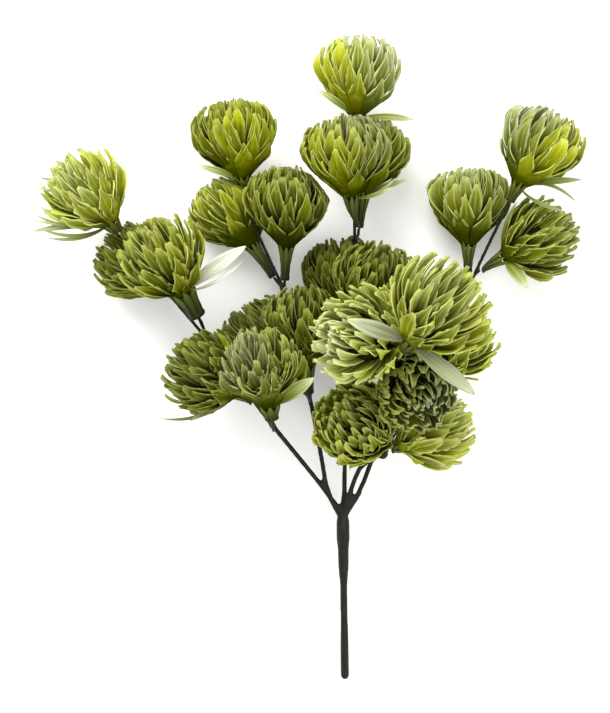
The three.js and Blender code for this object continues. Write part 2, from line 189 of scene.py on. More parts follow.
LOOKS = {
    "left_low_near": Look(MIXED, fine=1.2, pale=0.45, gold=0.3, shade=0.65, leaves=[(22, 14, 10)]),
    "left_low_far": Look(
        OPEN, shade=0.88, thin=[(-24, -14, 6)], wisps=[(-40, -13, 2, 0.12)], leaf_shade=0.65
    ),
    "left_high_near": Look(
        LONG,
        open=1.08,
        fine=1.1,
        gold=0.25,
        shade=0.47,
        leaves=[(32, 22, 8)],
        wisps=[(31, 15, 8, -0.1)],
        clear=0.8,
        leaf_shade=0,
    ),
    "left_high_far": Look(OPEN, shade=0.65, thin=[(-4, 29, 10)]),
    "left_tip": Look(
        BRIGHT,
        open=1.06,
        fine=1.1,
        pale=0.35,
        gold=0.6,
        thin=[(-38, -5, 8)],
        wisps=[
            (-36, 22, 8, -0.12),
            (-39, 17, 8, -0.08),
            (-38, 9, 6, 0.08),
            (-38, 4, 4, 0.12),
            (-39, 0.5, 10, 0.06),
            (-36, -3, 8, 0.16),
            (-32, -8, 6, 0.14),
        ],
        clear=0.4,
        leaf_shade=0.25,
    ),
    "middle_left_low_near": Look(pale=0.1, shade=0.88),
    "middle_left_low_far": Look(pale=0.1, shade=0.88),
    "middle_left_high_near": Look(TALL, pale=0.1, shade=0.76),
    "middle_left_high_far": Look(TALL, gold=0.3, shade=0.36),
    "middle_left_tip": Look(fine=1.15, gold=0.55, shade=0.78, thin=[(-22, 6, 10)]),
    "middle_right_low_near": Look(pale=0.1, shade=0.82),
    "middle_right_low_far": Look(pale=0.1, shade=0.9),
    "middle_right_high_near": Look(
        open=0.97,
        pale=0.4,
        gold=0.3,
        shade=0.7,
        glow=-40,
        wisps=[(20, 4, 8, -0.1), (22, 9, 4, -0.15)],
    ),
    "middle_right_high_far": Look(pale=0.4, shade=0.4, thin=[(22, 6, 16)]),
    "middle_right_tip": Look(
        BRIGHT_TALL, pale=1, shade=0.25, glow=-45, thin=[(29, -3, 8), (-21, 13, 6)]
    ),
    "front_low_near": Look(ROSETTE, fine=1.1, gold=0.3, shade=0.42, thin=[(-32, 14, 10)]),
    # Its pale, golden petals go towards clear white, partly painted highlight.
    "front_low_far": Look(BRIGHT, pale=1, gold=0.8, thin=[(24, -11, 6)]),
    "front_high_near": Look(BRIGHT, open=1.1, fine=1.2, pale=1, gold=0.5),
    "front_high_far": Look(ROSETTE, open=0.88, pale=0.5, shade=0.45),
    "front_tip": Look(
        BRIGHT,
        open=1.16,
        fine=1.3,
        pale=0.3,
        gold=0.45,
        shade=0.3,
        leaves=[(-27, 9, 10), (28, -23, 8)],
        clear=0.58,
        leaf_shade=0.42,
    ),
    "right_low_near": Look(BRIGHT, fine=1.1, pale=0.4, gold=0.5),
    "right_low_far": Look(shade=0.5),
    "right_high_near": Look(
        LONG,
        pale=0.2,
        shade=0.56,
        leaves=[(11, -16, 8)],
        wisps=[(6, 28, 6, 0.12), (20, 28, 2, 0.1)],
    ),
    "right_high_far": Look(TALL, pale=0.38, shade=0.45),
    "right_tip": Look(
        BRIGHT_TALL,
        open=0.99,
        pale=0.8,
        gold=0.15,
        shade=0.42,
        glow=25,
        thin=[(31, 2, 6)],
        wisps=[(27, -9, 8, 0.12), (20, -15, 14, -0.12)],
        leaf_shade=0.5,
    ),
}

# ------------------------------------------------------------------ camera

# The camera looks straight down. Its focal length in pixels goes with a picture 610 pixels wide.
PICTURE_WIDTH = 610
FOCAL_PIXELS = 1192
CAMERA_PLACE = (-3.57, 4.77, 650)

# ------------------------------------------------------------------ places of the heads

# `to_part` turns places in the head's own frame into places in the part's. `stout` is how wide the
# sleeve is, as a share of the usual.
Head = namedtuple("Head", "name look foot axis middle to_part sleeve_length stout")
STEEP = 0.95  # an axis that points this much up has no side towards the camera


def flat_top(mesh):
    """The normal, middle and area of the largest flat face of a mesh."""
    faces = {}
    for polygon in mesh.polygons:
        key = tuple(round(value, 2) for value in polygon.normal)
        faces.setdefault(key, []).append(polygon)
    top = max(faces.values(), key=lambda group: sum(face.area for face in group))
    area = sum(face.area for face in top)
    middle = sum((face.center * face.area for face in top), Vector()) / area
    return top[0].normal.normalized(), middle / MM, area / MM**2


def head_of(name, look, calyx):
    """A head's place, from the flat top of its sleeve."""
    axis, top, area = flat_top(calyx.data)
    foot = top + JOINT_GAP * axis
    towards = Vector((0, 1, 0)) if abs(axis.z) > STEEP else Vector((0, 0, 1))
    side = (towards - towards.dot(axis) * axis).normalized()
    across = axis.cross(side)
    to_part = Matrix((side, across, axis)).transposed().to_4x4()
    to_part.translation = foot
    bottom = min((vertex.co / MM - foot).dot(axis) for vertex in calyx.data.vertices)
    usual_area = SLEEVE_SIDES / 2 * SLEEVE_TOP_RADIUS**2 * math.sin(2 * math.pi / SLEEVE_SIDES)
    stout = math.sqrt(area / usual_area)
    middle = foot + BLOOM_HEIGHT / 2 * axis
    return Head(name, look, foot, axis, middle, to_part, -bottom, stout)


# ------------------------------------------------------------------ petal geometry

PETAL_THICKNESS = 0.6
EDGE_THICKNESS = 0.4
RING_CROWDING = 1.4  # above 1, the rings of a petal crowd towards its tip
FUSED_OVERLAP = 1.03  # how wide a fused petal is, as a share of its room in its row
FREE_ROOT = 0.1  # the share of its length where a petal that isn't fused leaves the foot
FREEING = 0.3  # the share of its length over which a petal flattens out and gets its channel
CHANNEL_LEAD = 0.05  # how much earlier its channel begins
EDGE_FADE = 0.08  # the share over which its edges become free ones
TIP_START, TIP_LENGTH = 0.7, 0.3  # where a petal's end begins to be shaped, and how long it is
NOTCH_WIDTH = 0.35
TEETH = 9  # how closely the teeth of a frayed tip follow each other
RIPPLES = 9  # the same for the ripples along a petal
UNEVENNESS = 41  # and for the unevenness of its edges
WRAP_RADIUS = 1.5  # the least radius that a petal is wrapped round


def smooth(x):
    """A smooth step from 0 to 1."""
    x = np.clip(x, 0, 1)
    return x * x * (3 - 2 * x)


def bezier(points, t):
    """Places and unit tangents of a cubic curve at the values t, as [out, up] rows."""
    a, b, c, d = (np.array(point, float) for point in points)
    t = t[:, None]
    s = 1 - t
    place = a * s**3 + 3 * b * t * s**2 + 3 * c * t**2 * s + d * t**3
    slope = 3 * (b - a) * s**2 + 6 * (c - b) * t * s + 3 * (d - c) * t**2
    return place, slope / np.linalg.norm(slope, axis=1)[:, None]


# One petal. `angle` is its place about the axis and `path` its course out and up from the foot.
# `pitch` is the angle between the petals of its row. Its tip turns by `twist`, in radians, and
# moves sideways by `sway`. `phase` shifts the waves of its edges. The rest is as for its row and
# kind.
Petal = namedtuple(
    "Petal", "angle path grid width fused claw belly pitch tip channel ragged twist sway phase"
)


def half_widths(petal, t, out):
    """Half of a petal's width along it. A fused petal meets its neighbours up to its belly."""
    rest = np.clip((t - petal.belly) / (1 - petal.belly), 0, 1)
    narrowed = 1 - (1 - petal.tip.blunt) * rest**petal.tip.narrowing
    if petal.fused:
        joined = petal.pitch / 2 * out * FUSED_OVERLAP
        return np.where(t < petal.belly, joined, narrowed * np.interp(petal.belly, t, joined))
    swelling = petal.claw + (1 - petal.claw) * smooth(t / petal.belly)
    return petal.width / 2 * swelling * narrowed


def tip_recess(petal, t, side, half):
    """How far a petal's end is drawn back, which rounds, notches and frays it."""
    notch = petal.tip.notch * np.exp(-((side / NOTCH_WIDTH) ** 2))
    teeth = 3 * petal.ragged * np.sin(petal.phase + TEETH * side)
    return (half * side**2 + notch + teeth) * smooth((t - TIP_START) / TIP_LENGTH)


def channel_height(petal, t, side, grown):
    """How far a petal's skin stands out: a channel between raised edges, which are rounded over
    at the rim, with ripples."""
    rim = 1.35 * np.abs(side) ** 1.5 - 0.5 * side**6
    ripple = 2 * petal.ragged * side * np.sin(RIPPLES * t + petal.phase)
    return petal.channel * grown * (rim + ripple)


def about_axis(petal, radius, aside, out, wrapped):
    """The x and y of a petal's points. Where the petal is wrapped it curves round the axis."""
    swing = aside / np.maximum(out, WRAP_RADIUS)
    x = radius + wrapped * radius * (np.cos(swing) - 1)
    y = aside + wrapped * (radius * np.sin(swing) - aside)
    cos, sin = math.cos(petal.angle), math.sin(petal.angle)
    return x * cos - y * sin, x * sin + y * cos


def petal_points(petal):
    """The points of a petal in its head's frame, as [skin, along, across, xyz], the outer skin
    first. With them come their shares of the way along the petal and to its free edge."""
    side = petal.grid.across
    t = 1 - (1 - np.linspace(0, 1, petal.grid.rings)) ** RING_CROWDING
    place, tangent = bezier(petal.path, t)
    out, up = place[:, :1], place[:, 1:]
    normal = np.stack([tangent[:, 1], -tangent[:, 0]], axis=1)
    half = half_widths(petal, t, place[:, 0])[:, None]
    t = t[:, None]
    free = petal.belly if petal.fused else FREE_ROOT
    grown = smooth((t - free + CHANNEL_LEAD) / FREEING)
    wrapped = 1 - smooth((t - free) / FREEING)
    waves = np.sin(petal.phase * side + UNEVENNESS * t)
    lateral = half * side * (1 + petal.ragged * grown * (np.abs(side) == 1) * waves)
    recess = tip_recess(petal, t, side, half)
    proud = channel_height(petal, t, side, grown)
    thick = EDGE_THICKNESS + (PETAL_THICKNESS - EDGE_THICKNESS) * (1 - np.abs(side) ** 3)
    turn = petal.twist * t**2
    skins = []
    for inset in (0, thick):
        level = proud - inset
        aside = lateral * np.cos(turn) - level * np.sin(turn) + petal.sway * t**2
        level = lateral * np.sin(turn) + level * np.cos(turn)
        radius = out + normal[:, :1] * level - tangent[:, :1] * recess
        height = up + normal[:, 1:] * level - tangent[:, 1:] * recess
        x, y = about_axis(petal, radius, aside, out, wrapped)
        skins.append(np.stack([x, y, height], axis=-1))
    edge = np.abs(side) * smooth((t - free + EDGE_FADE / 2) / EDGE_FADE)
    return np.array(skins), t[:, 0], edge


def rings_of(out, height):
    """Rings of points about the axis, as [along, around, xyz], from the points' radii and the
    rings' heights."""
    angles = np.linspace(0, 2 * math.pi, out.shape[1], endpoint=False)
    height = np.broadcast_to(height[:, None], out.shape)
    return np.stack([out * np.cos(angles), out * np.sin(angles), height], axis=-1)


def skin_faces(rings, columns):
    """The quads of a blade: two skins of points, closed round their edges."""
    number = np.arange(2 * rings * columns).reshape(2, rings, columns)

    def quads(a, b, c, d):
        return np.stack([a.ravel(), b.ravel(), c.ravel(), d.ravel()], axis=1)

    outer, inner = number
    return np.concatenate(
        [
            quads(outer[:-1, :-1], outer[:-1, 1:], outer[1:, 1:], outer[1:, :-1]),
            quads(inner[:-1, :-1], inner[1:, :-1], inner[1:, 1:], inner[:-1, 1:]),
            quads(outer[:-1, 0], outer[1:, 0], inner[1:, 0], inner[:-1, 0]),
            quads(outer[1:, -1], outer[:-1, -1], inner[:-1, -1], inner[1:, -1]),
            quads(outer[0, 1:], outer[0, :-1], inner[0, :-1], inner[0, 1:]),
            quads(outer[-1, :-1], outer[-1, 1:], inner[-1, 1:], inner[-1, :-1]),
        ]
    )


class Build:
    """Collects the points and faces of one piece. Each point also has its place on its petal, which
    is how near it is to an edge, how far along it is and a number of the petal's own, and its tone,
    which is how pale, how gold and how dark the petal is; on a bloom's petals the darkness is
    painted shade."""

    def __init__(self):
        self.points, self.faces, self.places, self.tones = [], [], [], []
        self.count = 0

    def add(self, points, faces, places, tone):
        self.points.append(points)
        self.faces += [[self.count + index for index in face] for face in faces.tolist()]
        self.places.append(places)
        self.tones.append(np.tile(tone, (len(points), 1)))
        self.count += len(points)

    def blade(self, skins, t, across, tone, chance):
        """Adds a closed blade of [skin, along, across, xyz] points."""
        rings, columns = skins.shape[1:3]
        places = np.stack(
            [
                np.broadcast_to(across, (2, rings, columns)),
                np.broadcast_to(t[:, None], (2, rings, columns)),
                np.full((2, rings, columns), chance),
            ],
            axis=-1,
        )
        faces = skin_faces(rings, columns)
        self.add(skins.reshape(-1, 3), faces, places.reshape(-1, 3), tone)

    def tube(self, points, places, tone):
        """Adds a tube of [along, around, xyz] points, closed at both ends."""
        rings, around = points.shape[:2]
        number = np.arange(rings * around).reshape(rings, around)
        following = np.roll(number, -1, axis=1)
        quads = np.stack([number[:-1], following[:-1], following[1:], number[1:]], axis=-1)
        ends = [(self.count + ring).tolist() for ring in (number[0][::-1], number[-1])]
        self.add(points.reshape(-1, 3), quads.reshape(-1, 4), places.reshape(-1, 3), tone)
        self.faces += ends

    def all_points(self):
        return np.concatenate(self.points)

    def finish(self, name, points, material, replaced):
        """Makes the piece. Its points are given in the part's frame."""
        mesh = bpy.data.meshes.new(name)
        mesh.from_pydata((points * MM).tolist(), [], self.faces)
        for attribute, values in (("petal", self.places), ("tone", self.tones)):
            layer = mesh.attributes.new(attribute, "FLOAT_VECTOR", "POINT")
            layer.data.foreach_set("vector", np.concatenate(values).astype(np.float32).ravel())
        mesh.materials.append(material)
        mesh.shade_smooth()
        show(name, mesh, replaced)


def show(name, mesh, replaced):
    """Puts a finished mesh in the scene in place of a CAD node."""
    piece = bpy.data.objects.new(name, mesh)
    bpy.context.scene.collection.objects.link(piece)
    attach(piece, "root")
    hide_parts(replaced)
    return piece


def moved(points, matrix):
    """Points of a head's frame in the part's frame."""
    turn = np.array(matrix.to_3x3())
    return points @ turn.T + np.array(matrix.translation)


# ------------------------------------------------------------------ blooms

# The outline of a bloom's core, as shares of the bloom's radius and height.
CORE_OUT = np.array([0, 0.12, 0.28, 0.44, 0.5, 0.4, 0.2, 0])
CORE_UP = np.array([0.02, 0.03, 0.1, 0.25, 0.42, 0.56, 0.64, 0.66])
CORE_SIDES = 18
CORE_PINHOLE = 0.05  # the radius of the core's first and last rings
# The core shows only deep in the bloom, so its dark olive is partly painted shade.
CORE_TONE = 0.3  # the core is coloured as a petal is at this share of its length

# Where the petals of the outermost row leave the foot, and how much nearer to the axis, as a share,
# and higher those of the innermost do.
FOOT_RADIUS = 2.8
FOOT_NARROWING = 0.6
FOOT_HEIGHT = 0.4
FOOT_RISE = 9
FIRST_PULL, SECOND_PULL = 0.42, 0.36  # how far a petal's course keeps its first and last directions

# How much petals differ when their kind has a `loose` of 1, with angles in degrees.
TIP_OUT_SPREAD = (-0.05, 0.02)
TIP_UP_SPREAD = (-0.03, 0.008)
LEAN_SPREAD = 12
MOST_TWIST = 25
MOST_SWAY = 1.8

# How much they differ in any kind, as shares.
SWING = 0.35  # of the room between two petals, how far one is off its even place
WIDTH_SPREAD = (0.72, 1.2)
BELLY_SPREAD = 0.08
CHANNEL_SPREAD = (0.6, 1.4)
RAGGED_SPREAD = (0.5, 1.5)

# With a `loose` of 2, this share of the petals goes astray, and is this much looser.
STRAY_SHARE = 0.07
STRAYING = 3

# How pale and how gold petals are at the foot of a bloom, and how this changes up to the crown.
PALE_FOOT, PALE_RISE = 0.4, 0.9
GOLD_FOOT, GOLD_FALL = 1.2, 0.5
TONE_SPREAD = (0.75, 1.25)
SHADE_SPREAD = (0.85, 1.2)
# A golden petal gets less of its head's painted shade.
UNSHADED, UNPALED = 0.5, 0.8  # how much less dark and less pale a golden petal is
PALE_TURN = math.radians(110)  # how far round a glowing bloom its pale side is from the glow
SIDE_CONTRAST = 0.6
ODD_SHARE, ODD_GOLD = 0.05, 0.4  # how many petals stand out, and how much more golden they are
GLOW_GOLD = 2.2
GLOW_NARROWNESS = 4
GLOW_FADE = 1.4  # how fast the glow fades towards the crown


def petal_path(head, row, index, rows, chance):
    """A petal's course in the plane through the axis: out of the foot, up the side, to the tip. The
    higher its row, the nearer to the axis it stands on the foot."""
    radius = BLOOM_RADIUS * head.look.open
    loose = head.look.kind.loose
    tip_out = radius * row.out * (1 + loose * chance.uniform(*TIP_OUT_SPREAD))
    tip_up = BLOOM_HEIGHT * (row.up + loose * chance.uniform(*TIP_UP_SPREAD))
    depth = index / rows
    start_out = FOOT_RADIUS * head.stout * (1 - FOOT_NARROWING * depth)
    start_up = FOOT_HEIGHT + FOOT_RISE * depth
    reach = math.hypot(tip_out - start_out, tip_up - start_up)
    direct = math.atan2(tip_up - start_up, tip_out - start_out)
    rise = direct - math.radians(head.look.kind.slope) * min(tip_out / radius, 1)
    lean = math.radians(row.lean + loose * chance.uniform(-LEAN_SPREAD, LEAN_SPREAD))
    pull = FIRST_PULL * reach
    first = (start_out + pull * math.cos(rise), start_up + pull * math.sin(rise))
    pull = SECOND_PULL * reach
    second = (tip_out - pull * math.sin(lean), tip_up - pull * math.cos(lean))
    return [(start_out, start_up), first, second, (tip_out, tip_up)]


def petal_tone(look, angle, depth, sides, chance):
    """How pale and how gold a petal is, and how much painted shade darkens it. Each bloom has a
    pale side and a golden one, its crown is paler and its lower petals more golden, and a few
    petals stand out. `depth` goes from 0 for the outermost row to nearly 1 for the innermost."""
    towards_pale, towards_gold = (1 + SIDE_CONTRAST * math.cos(angle - side) for side in sides)
    pale = look.pale * (PALE_FOOT + PALE_RISE * depth) * towards_pale
    pale *= chance.uniform(*TONE_SPREAD)
    gold = look.gold * (GOLD_FOOT - GOLD_FALL * depth) * towards_gold
    gold *= chance.uniform(*TONE_SPREAD)
    if chance.random() < ODD_SHARE:
        gold += ODD_GOLD
    if look.glow is not None:
        facing = max(math.cos(angle - math.radians(look.glow)), 0)
        gold += GLOW_GOLD * facing**GLOW_NARROWNESS * max(1 - GLOW_FADE * depth, 0)
    gold = min(gold, 1)
    shade = look.shade * (1 - UNSHADED * gold) * chance.uniform(*SHADE_SPREAD)
    return min(pale, 1) * (1 - UNPALED * gold), gold, shade


def tip_of(kind, depth, chance):
    """The form of a petal's tip. The crown has fewer pointed ones."""
    pointed, rounded, notched = kind.tips
    weights = (pointed * (1 - depth), rounded + depth * pointed, notched)
    return chance.choices((POINTED, ROUNDED, NOTCHED), weights=weights)[0]


def one_petal(head, row, index, angle, count, chance):
    """A petal of a row, at an angle about the axis."""
    kind = head.look.kind
    cupped = index < kind.cupped
    stray = not cupped and chance.random() < STRAY_SHARE * (kind.loose - 1)
    loose = kind.loose * (STRAYING if stray else 1)
    return Petal(
        angle=angle,
        path=petal_path(head, row, index, len(kind.rows), chance),
        grid=row.grid,
        width=row.width * head.look.open * row.count / count * chance.uniform(*WIDTH_SPREAD),
        fused=cupped,
        claw=kind.claw,
        belly=kind.fused if cupped else kind.belly + chance.uniform(-BELLY_SPREAD, BELLY_SPREAD),
        pitch=2 * math.pi / count,
        tip=POINTED if cupped else tip_of(kind, index / len(kind.rows), chance),
        channel=kind.channel * chance.uniform(*CHANNEL_SPREAD),
        ragged=kind.ragged * chance.uniform(*RAGGED_SPREAD),
        twist=math.radians(chance.uniform(-1, 1) * loose * MOST_TWIST),
        sway=chance.uniform(-1, 1) * loose * MOST_SWAY,
        phase=chance.uniform(0, 2 * math.pi),
    )


def add_rows(build, head, chance):
    """Adds a bloom's rows of petals, each row turned half a petal against the one before."""
    kind = head.look.kind
    start, *sides = (chance.uniform(0, 2 * math.pi) for _ in range(3))
    if head.look.glow is not None:
        glow = math.radians(head.look.glow)
        sides = (glow - math.copysign(PALE_TURN, glow), glow)
    for index, row in enumerate(kind.rows):
        cupped = index < kind.cupped
        count = row.count if cupped else round(row.count * head.look.fine)
        for place in range(count):
            swing = 0 if cupped else chance.uniform(-SWING, SWING)
            angle = start + (place + index / 2 + swing) * 2 * math.pi / count
            petal = one_petal(head, row, index, angle, count, chance)
            skins, t, edge = petal_points(petal)
            reach = kind.foot_tone + (1 - kind.foot_tone) * t
            tone = petal_tone(head.look, angle, index / len(kind.rows), sides, chance)
            build.blade(skins, reach, edge, tone, chance.random())


def add_core(build, head):
    """Adds the small core that the petals stand on. Its dark olive is partly painted shade, and its
    head's painted shade darkens it too.
    """
    out = np.maximum(CORE_OUT * (BLOOM_RADIUS * head.look.open), CORE_PINHOLE)
    points = rings_of(np.tile(out[:, None], CORE_SIDES), CORE_UP * BLOOM_HEIGHT)
    build.tube(points, np.broadcast_to((0, CORE_TONE, 0), points.shape), (0, 0, head.look.shade))


# ------------------------------------------------------------------ long petals

LEAF_WIDTH = 7.2
THIN_LEAF_WIDTH = 3.4
WISP_WIDTH = 1.9
LEAF_THICKNESS = 0.7
LEAF_ARCH = 0.12  # the height of a leaf's arch, as a share of its length
LEAF_CREASE = 0.14  # how deep it is creased along its midrib, as a share of its width
MIDRIB_HEIGHT = 0.22
MIDRIB_WIDTH = 0.1  # as a share of half of the leaf's width
LEAF_CURL = 0.5
LEAF_WAVES = 1.1  # how many times its edges go up and down
LEAF_ROOT = 1.2  # how far up the axis from the foot it starts
LEAF_RINGS = 16
LEAF_ACROSS = np.linspace(-1, 1, 9)
# A petal's rim colour is partly painted highlight.
LEAF_RIM = 0.8  # how near a leaf's edge comes to being coloured as a petal's rim
LEAF_FOOT_TONE = 0.45


def leaf_points(head, tip, bend, width, chance):
    """A long petal in the part's frame, creased along its midrib, arched, with its face to the sky.
    `bend` is how far its middle bows sideways, as a share of its length."""
    run = np.array(tip, float)
    length = np.linalg.norm(run)
    along = run / length
    across = np.cross((0, 0, 1), along)
    across /= np.linalg.norm(across)
    face = np.cross(along, across)
    root = np.array(head.foot) + LEAF_ROOT * np.array(head.axis)
    t = np.linspace(0, 1, LEAF_RINGS)[:, None]
    side = LEAF_ACROSS
    swell = np.sin(math.pi * t**1.3)
    half = width / 2 * (0.1 + 0.9 * swell**0.8)
    crease = swell * LEAF_CREASE * width * np.abs(side) ** 1.3
    midrib = MIDRIB_HEIGHT * np.exp(-((side / MIDRIB_WIDTH) ** 2)) * swell
    curl = LEAF_CURL * np.sin(2 * LEAF_WAVES * math.pi * t + chance.uniform(0, 6)) * side
    aside = side * half + bend * length * 4 * t * (1 - t)
    skins = []
    for level in (LEAF_THICKNESS / 2, -LEAF_THICKNESS / 2):
        thin = level * (1 - 0.5 * np.abs(side) ** 3) * (0.5 + 0.5 * swell)
        height = swell * LEAF_ARCH * length + crease + thin + curl - np.sign(level) * midrib
        points = root + (t * length)[..., None] * along
        skins.append(points + aside[..., None] * across + height[..., None] * face)
    return np.array(skins), t[:, 0]


def add_leaves(build, head, chance):
    """Adds a head's long petals. These are pale, and already in the part's frame."""
    blades = [(tip, 0, LEAF_WIDTH) for tip in head.look.leaves]
    blades += [(tip, 0, THIN_LEAF_WIDTH) for tip in head.look.thin]
    blades += [(tip, bend, WISP_WIDTH) for *tip, bend in head.look.wisps]
    tone = (1, head.look.clear, head.look.leaf_shade)
    for tip, bend, width in blades:
        skins, t = leaf_points(head, tip, bend, width, chance)
        reach = LEAF_FOOT_TONE + (1 - LEAF_FOOT_TONE) * t
        edge = LEAF_RIM * np.abs(LEAF_ACROSS)
        build.blade(skins[:, :, ::-1], reach, edge, tone, chance.random())


# ------------------------------------------------------------------ blooms among their neighbours

PRESS_DEPTH = 3.5  # how far from the plane between two blooms their petals begin to yield
FLOOR_DEPTH = 1.5  # how far above the floor they do
FLOOR_GAP = 0.1


def pressed(points, origin, normal, depth):
    """Points pushed back from a plane, softly, so that none passes it."""
    beyond = (points - origin) @ normal + depth
    yielded = np.where(beyond > 0, depth * (1 - np.exp(-np.maximum(beyond, 0) / depth)) - beyond, 0)
    return points + yielded[:, None] * normal


def among_neighbours(points, head, heads):
    """A head's points, pressed back by the blooms that touch its bloom and by the floor."""
    for other in heads:
        gap = (other.middle - head.middle).length
        together = head.look.open + other.look.open
        if other is head or gap > BLOOM_RADIUS * together * PRESSING_REACH:
            continue
        normal = np.array((other.middle - head.middle).normalized())
        share = gap * head.look.open / together - JOINT_GAP / 2
        points = pressed(points, np.array(head.middle) + share * normal, normal, PRESS_DEPTH)
    return pressed(points, np.array((0, 0, FLOOR_GAP)), np.array((0, 0, -1.0)), FLOOR_DEPTH)


def make_bloom(head, heads, material, seed):
    """Makes a bloom: its core, its rows of petals and its long petals."""
    chance = random.Random(seed)
    build = Build()
    add_core(build, head)
    add_rows(build, head, chance)
    points = among_neighbours(moved(build.all_points(), head.to_part), head, heads)
    add_leaves(build, head, chance)
    points = np.concatenate([points, build.all_points()[len(points) :]])
    build.finish(f"petals_{head.name}", points, material, f"bloom_{head.name}")


# ------------------------------------------------------------------ calyx sleeves

SLEEVE_RINGS = 16
SLEEVE_AROUND = 48
SLEEVE_RIBS = 8
RIB_HEIGHT = 0.16
SLEEVE_END = 0.6  # the radius of the small rings that close its ends
SLEEVE_NECK = 0.8  # how slim a sleeve is under its flared top, as a share of the CAD sleeve
SLEEVE_WAIST = 0.3
FLARE_START, FLARE_LENGTH = 0.55, 0.45  # as shares of the sleeve's length
SLEEVE_LIP = 0.3
LIP_PLACE = 0.07
SHORT_SLEEVE = 9
LONG_SLEEVE_OLIVE = 0.2

SEPALS = 8
SEPAL_ROOT = 0.3  # how far up the sleeve a sepal starts, as a share of the sleeve's length
SEPAL_WIDTH = 2.2
SEPAL_LIFT = 0.3  # how far it stands off the sleeve at the top
SEPAL_TIP_OUT, SEPAL_TIP_UP = 1.3, 3.0  # how far its tip is out from the sleeve and up the bloom
SEPAL_PALE = 0.5


def olive(head):
    """How olive a sleeve is: a short one has the colour of its petals' feet, a long one is sage."""
    return 1 if head.sleeve_length < SHORT_SLEEVE else LONG_SLEEVE_OLIVE


def sleeve_radius(head, t):
    """The sleeve's radius from its bottom, t = 0, to its top, t = 1."""
    waist = SLEEVE_WAIST * smooth(t / 0.6)
    spread = SLEEVE_NECK * SLEEVE_TOP_RADIUS - SLEEVE_BOTTOM_RADIUS - SLEEVE_WAIST
    flare = spread * smooth((t - FLARE_START) / FLARE_LENGTH)
    lip = SLEEVE_LIP * np.exp(-(((t - LIP_PLACE) / LIP_PLACE) ** 2))
    return head.stout * (SLEEVE_BOTTOM_RADIUS + waist + flare + lip)


def add_sleeve(build, head):
    """Adds the ribbed sleeve, closed at both ends."""
    t = np.concatenate([[0], np.linspace(0, 1, SLEEVE_RINGS), [1]])
    radius = sleeve_radius(head, t)
    radius[0] = radius[-1] = SLEEVE_END
    angles = np.linspace(0, 2 * math.pi, SLEEVE_AROUND, endpoint=False)
    ribs = RIB_HEIGHT * head.stout * np.cos(SLEEVE_RIBS * angles) * smooth(t * 3)[:, None]
    ribs[0] = ribs[-1] = 0
    out = radius[:, None] + ribs
    height = -JOINT_GAP - (1 - t) * (head.sleeve_length - JOINT_GAP)
    # How near a point is to the groove between two ribs, where the sleeve's material paints shade.
    groove = np.abs(np.sin(SLEEVE_RIBS * angles / 2))
    shares = (groove, t[:, None], 0)
    places = np.stack([np.broadcast_to(share, out.shape) for share in shares], axis=-1)
    build.tube(rings_of(out, height), places, (0, olive(head), 0))


def add_sepals(build, head, chance):
    """Adds the pointed sepals, which lie on the sleeve and reach up the foot of the bloom."""
    length = head.sleeve_length
    start_out = sleeve_radius(head, np.array([SEPAL_ROOT]))[0] - 0.1
    start = (start_out, -(1 - SEPAL_ROOT) * length)
    top = (head.stout * SLEEVE_NECK * SLEEVE_TOP_RADIUS + SEPAL_LIFT, -0.6)
    middle = (start[0] + 0.35 * (top[0] - start[0]) + 0.2, -0.4 * length)
    for place in range(SEPALS):
        tip_out = head.stout * SLEEVE_TOP_RADIUS + SEPAL_TIP_OUT + chance.uniform(-0.5, 0.5)
        petal = Petal(
            angle=(place + chance.uniform(-0.1, 0.1)) * 2 * math.pi / SEPALS,
            path=[start, middle, top, (tip_out, SEPAL_TIP_UP)],
            grid=COARSE,
            width=SEPAL_WIDTH * head.stout * chance.uniform(0.85, 1.1),
            fused=False,
            claw=0.5,
            belly=0.6,
            pitch=0,
            tip=POINTED,
            channel=0.2,
            ragged=0,
            twist=0,
            sway=chance.uniform(-0.4, 0.4),
            phase=0,
        )
        skins, t, edge = petal_points(petal)
        build.blade(skins, t, edge, (SEPAL_PALE, olive(head), 0), chance.random())


def make_sleeve(head, heads, material, seed):
    """Makes a calyx sleeve with its sepals."""
    chance = random.Random(seed)
    build = Build()
    add_sleeve(build, head)
    add_sepals(build, head, chance)
    points = among_neighbours(moved(build.all_points(), head.to_part), head, heads)
    build.finish(f"sleeve_{head.name}", points, material, f"calyx_{head.name}")


# ------------------------------------------------------------------ stem

STEM_VOXEL = 0.7
STEM_SMOOTHING = 8
STEM_RELAXING = 0.5
SEAM = 0.01  # points of the CAD stem that are nearer than this are one

# The front branch's lower fork is swollen in the CAD. It is slimmed to the share SLIMMED of its
# size, so that it looks like a knuckle.
FORK_PLACE = (36.4, -45.2, 36)
FORK_RADIUS = 4.6
SLIMMED = 0.66


def slimmed(points):
    """Points of the stem with its swollen fork drawn in."""
    spread = points - FORK_PLACE
    reach = np.linalg.norm(spread, axis=1)
    share = SLIMMED + (1 - SLIMMED) * smooth((reach - FORK_RADIUS) / FORK_RADIUS)
    return FORK_PLACE + spread * share[:, None]


def evened(piece):
    """A piece's mesh with even faces, relaxed."""
    remesh = piece.modifiers.new("even", "REMESH")
    remesh.mode = "VOXEL"
    remesh.voxel_size = STEM_VOXEL * MM
    relax = piece.modifiers.new("relax", "SMOOTH")
    relax.factor = STEM_RELAXING
    relax.iterations = STEM_SMOOTHING
    graph = bpy.context.evaluated_depsgraph_get()
    mesh = bpy.data.meshes.new_from_object(piece.evaluated_get(graph))
    piece.modifiers.clear()
    return mesh


